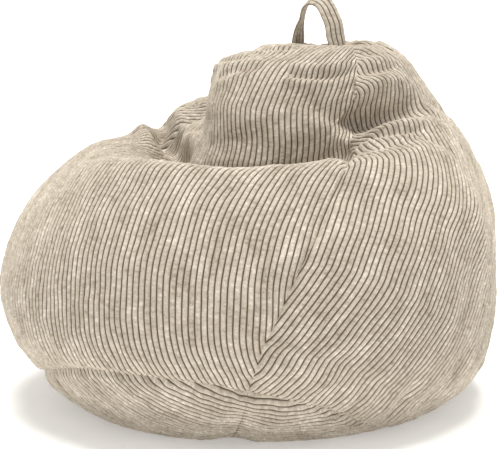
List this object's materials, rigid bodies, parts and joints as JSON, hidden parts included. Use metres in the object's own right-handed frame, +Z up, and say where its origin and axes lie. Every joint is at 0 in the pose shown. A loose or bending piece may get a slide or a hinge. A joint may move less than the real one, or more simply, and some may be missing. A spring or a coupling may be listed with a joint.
{
  "type": "bean bag chair",
  "caption": "Large teardrop bean bag chair in ribbed corduroy with a moulded-in seat, high back and a carrying handle on top.",
  "frame": {"origin": "on the floor under the middle of the bag", "axes": "+Z up, -Y the way the sitter faces, +X to the right of somebody who looks at the chair from the front"},
  "size_m": [0.8984, 0.9091, 0.716],
  "materials": {
    "corduroy": "jumbo corduroy, ribs 10.8 mm apart, matt brushed pile, stone beige",
    "lining": "smooth tightly woven polyester lining, off white",
    "beads": "expanded polystyrene beads, white",
    "zip_tape": "woven polyester zip tape, stone beige",
    "zip_coil": "nylon coil, stone beige",
    "liner_tape": "woven polyester zip tape, off white",
    "liner_coil": "nylon coil, off white",
    "zip_metal": "die-cast zinc, satin nickel finish"
  },
  "bodies": {
    "bag": {"front_panel": "corduroy", "right_panel": "corduroy", "back_panel": "corduroy", "left_panel": "corduroy", "base_half_right": "corduroy", "base_half_left": "corduroy", "handle_foot_left": "corduroy", "handle_foot_right": "corduroy", "handle_patch": "lining", "liner_bag": "lining", "bead_fill": "beads", "cover_zip_tape_left": "zip_tape", "cover_zip_tape_right": "zip_tape", "cover_zip_coil_left": "zip_coil", "cover_zip_coil_right": "zip_coil", "cover_zip_top_stop": "zip_metal", "cover_zip_bottom_stop": "zip_metal", "liner_zip_tape_left": "liner_tape", "liner_zip_tape_right": "liner_tape", "liner_zip_coil_left": "liner_coil", "liner_zip_coil_right": "liner_coil", "liner_zip_top_stop": "zip_metal", "liner_zip_bottom_stop": "zip_metal"},
    "handle": {"handle_loop": "corduroy"},
    "cover_slider": {"cover_zip_slider": "zip_metal"},
    "cover_pull": {"cover_zip_pull": "zip_metal"},
    "liner_slider": {"liner_zip_slider": "zip_metal"}
  },
  "joints": [
    {"name": "handle_flop", "type": "hinge", "parent": "bag", "child": "handle", "pos_m": [0.03, 0.185, 0.664], "axis": [1, 0, 0], "range_deg": [-80, 80]},
    {"name": "cover_zip_slide", "type": "slide", "parent": "bag", "child": "cover_slider", "axis": [0.7577, -0.6525, 0], "range_m": [0, 0.368]},
    {"name": "cover_pull_swing", "type": "hinge", "parent": "cover_slider", "child": "cover_pull", "pos_m": [-0.20615, 0.05683, 0.0068], "axis": [0.6525, 0.7577, 0], "range_deg": [0, 180]},
    {"name": "liner_zip_slide", "type": "slide", "parent": "bag", "child": "liner_slider", "axis": [0.7577, -0.6525, 0], "range_m": [0, 0.33]}
  ]
}
